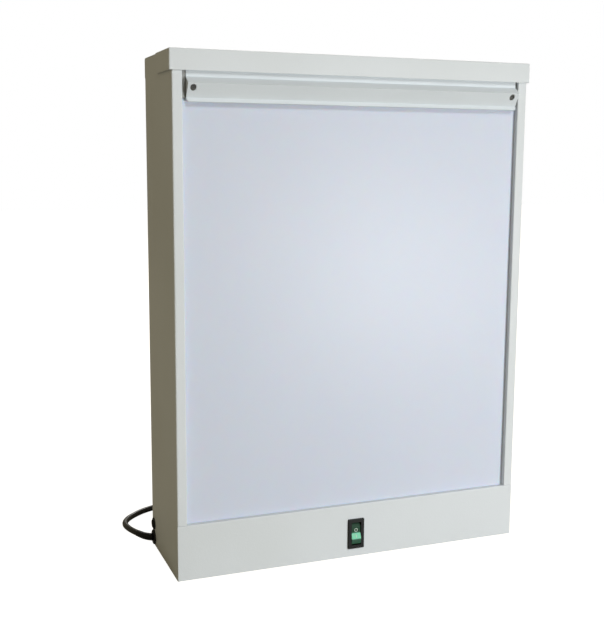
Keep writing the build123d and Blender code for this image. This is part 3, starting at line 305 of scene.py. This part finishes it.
MATERIALS = {
    "white_enamel": enamel("white_enamel", WHITE, 0.42, tint=(1.0, 1.0, 0.985)),
    "clip_enamel": enamel("clip_enamel", CLIP_WHITE, 0.36, 0.3, 0.0004),
    # Plated steel darkened and dulled below bare zinc: painted shade for the top rail seen in the
    # shaded gap at the clip's left end.
    "zinc_steel": metal("zinc_steel", (0.34, 0.345, 0.34), 0.6, (1, 1, 0.06)),
    "opal_acrylic": opal("opal_acrylic", OPAL),
    "white_nylon": moulded("white_nylon", (0.74, 0.75, 0.73), 0.5),
    # Steel screws made nearly black: painted shade for the holes they sit deep in.
    "dark_screws": metal("dark_screws", (0.10, 0.10, 0.095), 0.4, scale=TURNED_LINES),
    "steel_screws": metal("steel_screws", (0.66, 0.66, 0.67), 0.28, scale=TURNED_LINES),
    "black_plastic": moulded("black_plastic", BLACK, 0.5, Specular_IOR_Level=0.3),
    "green_rocker": rocker_lit_and_shaded("green_rocker", ROCKER_Z, SHADED_GREEN, LIT_GREEN),
    "brass": metal("brass", (0.72, 0.53, 0.22), 0.3, scale=BRASS_LINES),
    "clear_glass": glass("clear_glass", (0.93, 0.95, 0.94), 1.0),
    "lamp_glass": glass("lamp_glass", (0.90, 0.91, 0.89), 0.0, 0.16),
    "aluminium": metal("aluminium", (0.74, 0.74, 0.75), 0.35, (1, 1, 0.1)),
    "white_plastic": moulded("white_plastic", (0.80, 0.80, 0.76), 0.35),
    "reflector_enamel": enamel("reflector_enamel", (0.86, 0.86, 0.84), 0.25, 0.3),
    "grey_enamel": enamel("grey_enamel", (0.10, 0.105, 0.115), 0.45),
    "cord_pvc": moulded(
        "cord_pvc", (0.006, 0.006, 0.008), 0.37, CORD_GRAIN, 0.2, 0.0, Specular_IOR_Level=0.4
    ),
    "core_pvc": moulded("core_pvc", (0.05, 0.07, 0.26), 0.38, CORD_GRAIN, 0.2, 0.0),
    "mark": moulded("mark", (0.62, 0.70, 0.64), 0.5),
}
FINISH = {part["node"]: part["material_slot"] for part in frame["record"]["subparts"]}
for node, solid in NODES.items():
    solid.data.materials.clear()
    solid.data.materials.append(MATERIALS[FINISH[node]])


def add_mesh(name, points, faces, material):
    data = bpy.data.meshes.new(name)
    data.from_pydata([tuple(p) for p in points], [], faces)
    data.validate()
    data.materials.append(MATERIALS[material])
    piece = bpy.data.objects.new(name, data)
    scene.collection.objects.link(piece)
    for face in data.polygons:
        face.use_smooth = True
    return piece


# ---- Mains cord: loose stretch, coil and tail on one spline ----

CORD = 0.0032  # radius
SLEEVE_LONG = 0.021
SLEEVE_RADII = [0.0040, 0.0039, 0.0037, 0.0035, 0.00335]
ROUTE = [
    (-0.1908, 0.0475, 0.0086),
    (-0.1974, 0.0481, 0.0096),
    (-0.2032, 0.0551, 0.0107),
    (-0.2074, 0.0668, 0.0101),
    (-0.2103, 0.0820, 0.0086),
    (-0.2108, 0.0995, 0.0066),
    (-0.2060, 0.1180, 0.0044),
    (-0.1950, 0.1340, 0.0032),
    (-0.1770, 0.1485, 0.0032),
    (-0.1500, 0.1580, 0.0032),
    (-0.1200, 0.1565, 0.0032),
]
COIL_AT = (-0.095, 0.108)
COIL_RADIUS = 0.0352
COIL_TURNS = 3  # on each of two layers
TURN_POINTS = 16
CLIMB = (-0.12, 0.14)  # where the cord climbs to its second layer, in turns
TAIL = [
    (-0.0720, 0.1510, 0.0096),
    (-0.0520, 0.1440, 0.0100),
    (-0.0140, 0.1440, 0.0100),
]


def coil_points():
    """Turns from the outside in on the surface, then from the inside out on top of them."""
    outer = COIL_RADIUS + COIL_TURNS * CORD
    points = []
    for i in range(2 * COIL_TURNS * TURN_POINTS + 1):
        turn = i / TURN_POINTS
        radius = outer - 2 * CORD * (COIL_TURNS - abs(turn - COIL_TURNS))
        climbed = (turn - COIL_TURNS - CLIMB[0]) / (CLIMB[1] - CLIMB[0])
        angle = math.pi / 2 - 2 * math.pi * turn
        points.append((
            COIL_AT[0] + radius * math.cos(angle),
            COIL_AT[1] + radius * math.sin(angle),
            CORD + 2 * CORD * min(max(climbed, 0), 1),
        ))
    return points


def add_cord():
    curve = bpy.data.curves.new("power_cord", "CURVE")
    curve.dimensions = "3D"
    curve.resolution_u = 8
    points = ROUTE + coil_points() + TAIL
    spline = curve.splines.new("NURBS")
    spline.points.add(len(points) - 1)
    for target, point in zip(spline.points, points):
        target.co = (*point, 1)
    spline.order_u = 3
    spline.use_endpoint_u = True
    line = bpy.data.objects.new("power_cord", curve)
    scene.collection.objects.link(line)
    path = bpy.data.meshes.new_from_object(line)
    followed = [v.co.copy() for v in path.vertices]
    bpy.data.meshes.remove(path)
    curve.bevel_depth = CORD
    curve.bevel_resolution = 6
    curve.use_fill_caps = True
    curve.materials.append(MATERIALS["cord_pvc"])
    return line, followed


def tapered_tube(name, path, length, sizes, material, sides=24):
    """A tube along the start of a path, its radius going through sizes from end to end."""
    rings = []
    gone = 0.0
    walked = []
    for a, b in zip(path, path[1:]):
        if gone <= length:
            walked.append((gone, a, (b - a).normalized()))
        gone += (b - a).length
    side = walked[0][2].orthogonal().normalized()
    points, faces = [], []
    for gone, at, way in walked:
        side = (side - way * side.dot(way)).normalized()
        up = way.cross(side)
        share = gone / length * (len(sizes) - 1)
        k = min(int(share), len(sizes) - 2)
        radius = sizes[k] + (sizes[k + 1] - sizes[k]) * (share - k)
        rings.append(len(points))
        for i in range(sides):
            angle = 2 * math.pi * i / sides
            points.append(at + (side * math.cos(angle) + up * math.sin(angle)) * radius)
    for low, high in zip(rings, rings[1:]):
        for i in range(sides):
            j = (i + 1) % sides
            faces.append((low + i, low + j, high + j, high + i))
    faces.append(tuple(reversed(range(sides))))
    faces.append(tuple(rings[-1] + i for i in range(sides)))
    return add_mesh(name, points, faces, material)


cord, cord_path = add_cord()
sleeve = tapered_tube("strain_relief", cord_path, SLEEVE_LONG, SLEEVE_RADII, "black_plastic")
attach(cord, "housing")
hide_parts("mains_cord", "cord_coil", "cord_tail")
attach(sleeve, "housing")

# ---- Marks on the rocker ----

ROCKER_X = 0.001
VALLEY = Vector((ROCKER_X, -0.05674, 0.025395))  # where the rocker's two faces meet
LEAN = math.radians(20)
RING_FLATNESS = 0.5
BAR_THICKNESS = 0.3  # of its width
BAR_SECTION = ((-0.5, 0.0), (0.3, 0.0), (0.5, 0.25))  # lift off the face, and how far in


def ring(name, centre, normal, radius, thick, material, sides=40, around=8):
    """A flat torus lying on a face."""
    side = normal.orthogonal().normalized()
    up = normal.cross(side)
    points, faces = [], []
    for i in range(sides):
        a = 2 * math.pi * i / sides
        out = side * math.cos(a) + up * math.sin(a)
        for j in range(around):
            b = 2 * math.pi * j / around
            rise = normal * (thick * RING_FLATNESS * math.sin(b))
            points.append(centre + out * (radius + thick * math.cos(b)) + rise)
    for i in range(sides):
        for j in range(around):
            k, m = (i + 1) % sides, (j + 1) % around
            faces.append((i * around + j, k * around + j, k * around + m, i * around + m))
    return add_mesh(name, points, faces, material)


def bar(name, centre, normal, along, length, wide, material, sides=20):
    """A low bar with round ends lying on a face."""
    across = normal.cross(along)
    points = []
    for lift, inset in BAR_SECTION:
        rise = normal * (lift * wide * BAR_THICKNESS)
        for i in range(sides):
            a = 2 * math.pi * (i + 0.5) / sides
            end = (length / 2 - wide / 2) * (1 if math.sin(a) > 0 else -1)
            r = wide / 2 * (1 - inset)
            flat = along * (end + r * math.sin(a)) + across * (r * math.cos(a))
            points.append(centre + flat + rise)
    faces = [tuple(reversed(range(sides))), tuple(2 * sides + i for i in range(sides))]
    for low in (0, sides):
        for i in range(sides):
            j = (i + 1) % sides
            faces.append((low + i, low + j, low + sides + j, low + sides + i))
    return add_mesh(name, points, faces, material)


UPPER_NORMAL = Vector((0, -1, 0))
LOWER_NORMAL = Vector((0, -math.cos(LEAN), math.sin(LEAN)))
LOWER_WAY = Vector((0, -math.sin(LEAN), -math.cos(LEAN)))
OFF_CENTRE = VALLEY + Vector((0, 0, 0.0031))
OFF_RADIUS, OFF_THICK = 0.0016, 0.00032
ON_CENTRE = VALLEY + LOWER_WAY * 0.0033
ON_LONG, ON_WIDE = 0.0034, 0.0007
off_mark = ring("rocker_mark_off", OFF_CENTRE, UPPER_NORMAL, OFF_RADIUS, OFF_THICK, "mark")
on_mark = bar("rocker_mark_on", ON_CENTRE, LOWER_NORMAL, LOWER_WAY, ON_LONG, ON_WIDE, "mark")
for mark in (off_mark, on_mark):
    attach(mark, "rocker")

# ---- Floor and light ----

FLOOR = 14.0  # side
FLOOR_COLOUR = (0.40, 0.365, 0.29)
FLOOR_GLOW = 0.97  # seen by the camera only
WORLD_LIGHT = (1.0, 0.87, 0.58)
WORLD_STRENGTH = 0.235


def add_floor():
    """Pale floor that reads nearly white and throws little light back."""
    data = bpy.data.meshes.new("floor")
    half = FLOOR / 2
    corners = [(-half, -half, 0), (half, -half, 0), (half, half, 0), (-half, half, 0)]
    data.from_pydata(corners, [], [(0, 1, 2, 3)])
    mat, main = shader("floor", FLOOR_COLOUR, 0.9, Specular_IOR_Level=0.1)
    tree = mat.node_tree
    glow = tree.nodes.new("ShaderNodeEmission")
    glow.inputs["Strength"].default_value = FLOOR_GLOW
    ray = tree.nodes.new("ShaderNodeLightPath")
    seen = tree.nodes.new("ShaderNodeMixShader")
    total = tree.nodes.new("ShaderNodeAddShader")
    off = tree.nodes.new("ShaderNodeEmission")
    off.inputs["Strength"].default_value = 0.0
    tree.links.new(ray.outputs["Is Camera Ray"], seen.inputs["Fac"])
    tree.links.new(off.outputs["Emission"], seen.inputs[1])
    tree.links.new(glow.outputs["Emission"], seen.inputs[2])
    tree.links.new(main.outputs["BSDF"], total.inputs[0])
    tree.links.new(seen.outputs["Shader"], total.inputs[1])
    tree.links.new(total.outputs["Shader"], tree.nodes["Material Output"].inputs["Surface"])
    data.materials.append(mat)
    floor = bpy.data.objects.new("floor", data)
    scene.collection.objects.link(floor)


def add_light(name, at, target, size, power, colour):
    """A soft disk that lights the object and isn't seen itself."""
    data = bpy.data.lights.new(name, "AREA")
    data.shape = "DISK"
    data.size = size
    data.energy = power
    data.color = colour
    lamp = bpy.data.objects.new(name, data)
    lamp.location = at
    lamp.visible_camera = False
    lamp.rotation_euler = (Vector(target) - Vector(at)).to_track_quat("-Z", "Y").to_euler()
    scene.collection.objects.link(lamp)


def add_world():
    """White to the camera, dimmer and slightly warm as a light."""
    world = bpy.data.worlds.new("world")
    world.use_nodes = True
    tree = world.node_tree
    seen = tree.nodes["Background"]
    seen.inputs["Color"].default_value = (1, 1, 1, 1)
    seen.inputs["Strength"].default_value = 1.0
    lit = tree.nodes.new("ShaderNodeBackground")
    lit.inputs["Color"].default_value = (*WORLD_LIGHT, 1)
    lit.inputs["Strength"].default_value = WORLD_STRENGTH
    ray = tree.nodes.new("ShaderNodeLightPath")
    mix = tree.nodes.new("ShaderNodeMixShader")
    tree.links.new(ray.outputs["Is Camera Ray"], mix.inputs["Fac"])
    tree.links.new(lit.outputs["Background"], mix.inputs[1])
    tree.links.new(seen.outputs["Background"], mix.inputs[2])
    tree.links.new(mix.outputs["Shader"], tree.nodes["World Output"].inputs["Surface"])
    scene.world = world


LIGHTS = [  # name, place, target, diameter, power, colour
    ("key", (0.85, -4.2, 3.5), (0.0, 0.0, 0.2), 1.4, 86, (0.95, 0.985, 1.0)),
    ("low_fill", (0.85, -1.8, 0.1), (0.0, 0.0, 0.05), 0.25, 19, (0.95, 0.98, 1.0)),
    ("back_fill", (0.9, 3.0, 2.2), (0.0, 0.0, 0.2), 1.8, 50, (1.0, 0.995, 0.98)),
]

add_floor()
add_world()
for light in LIGHTS:
    add_light(*light)
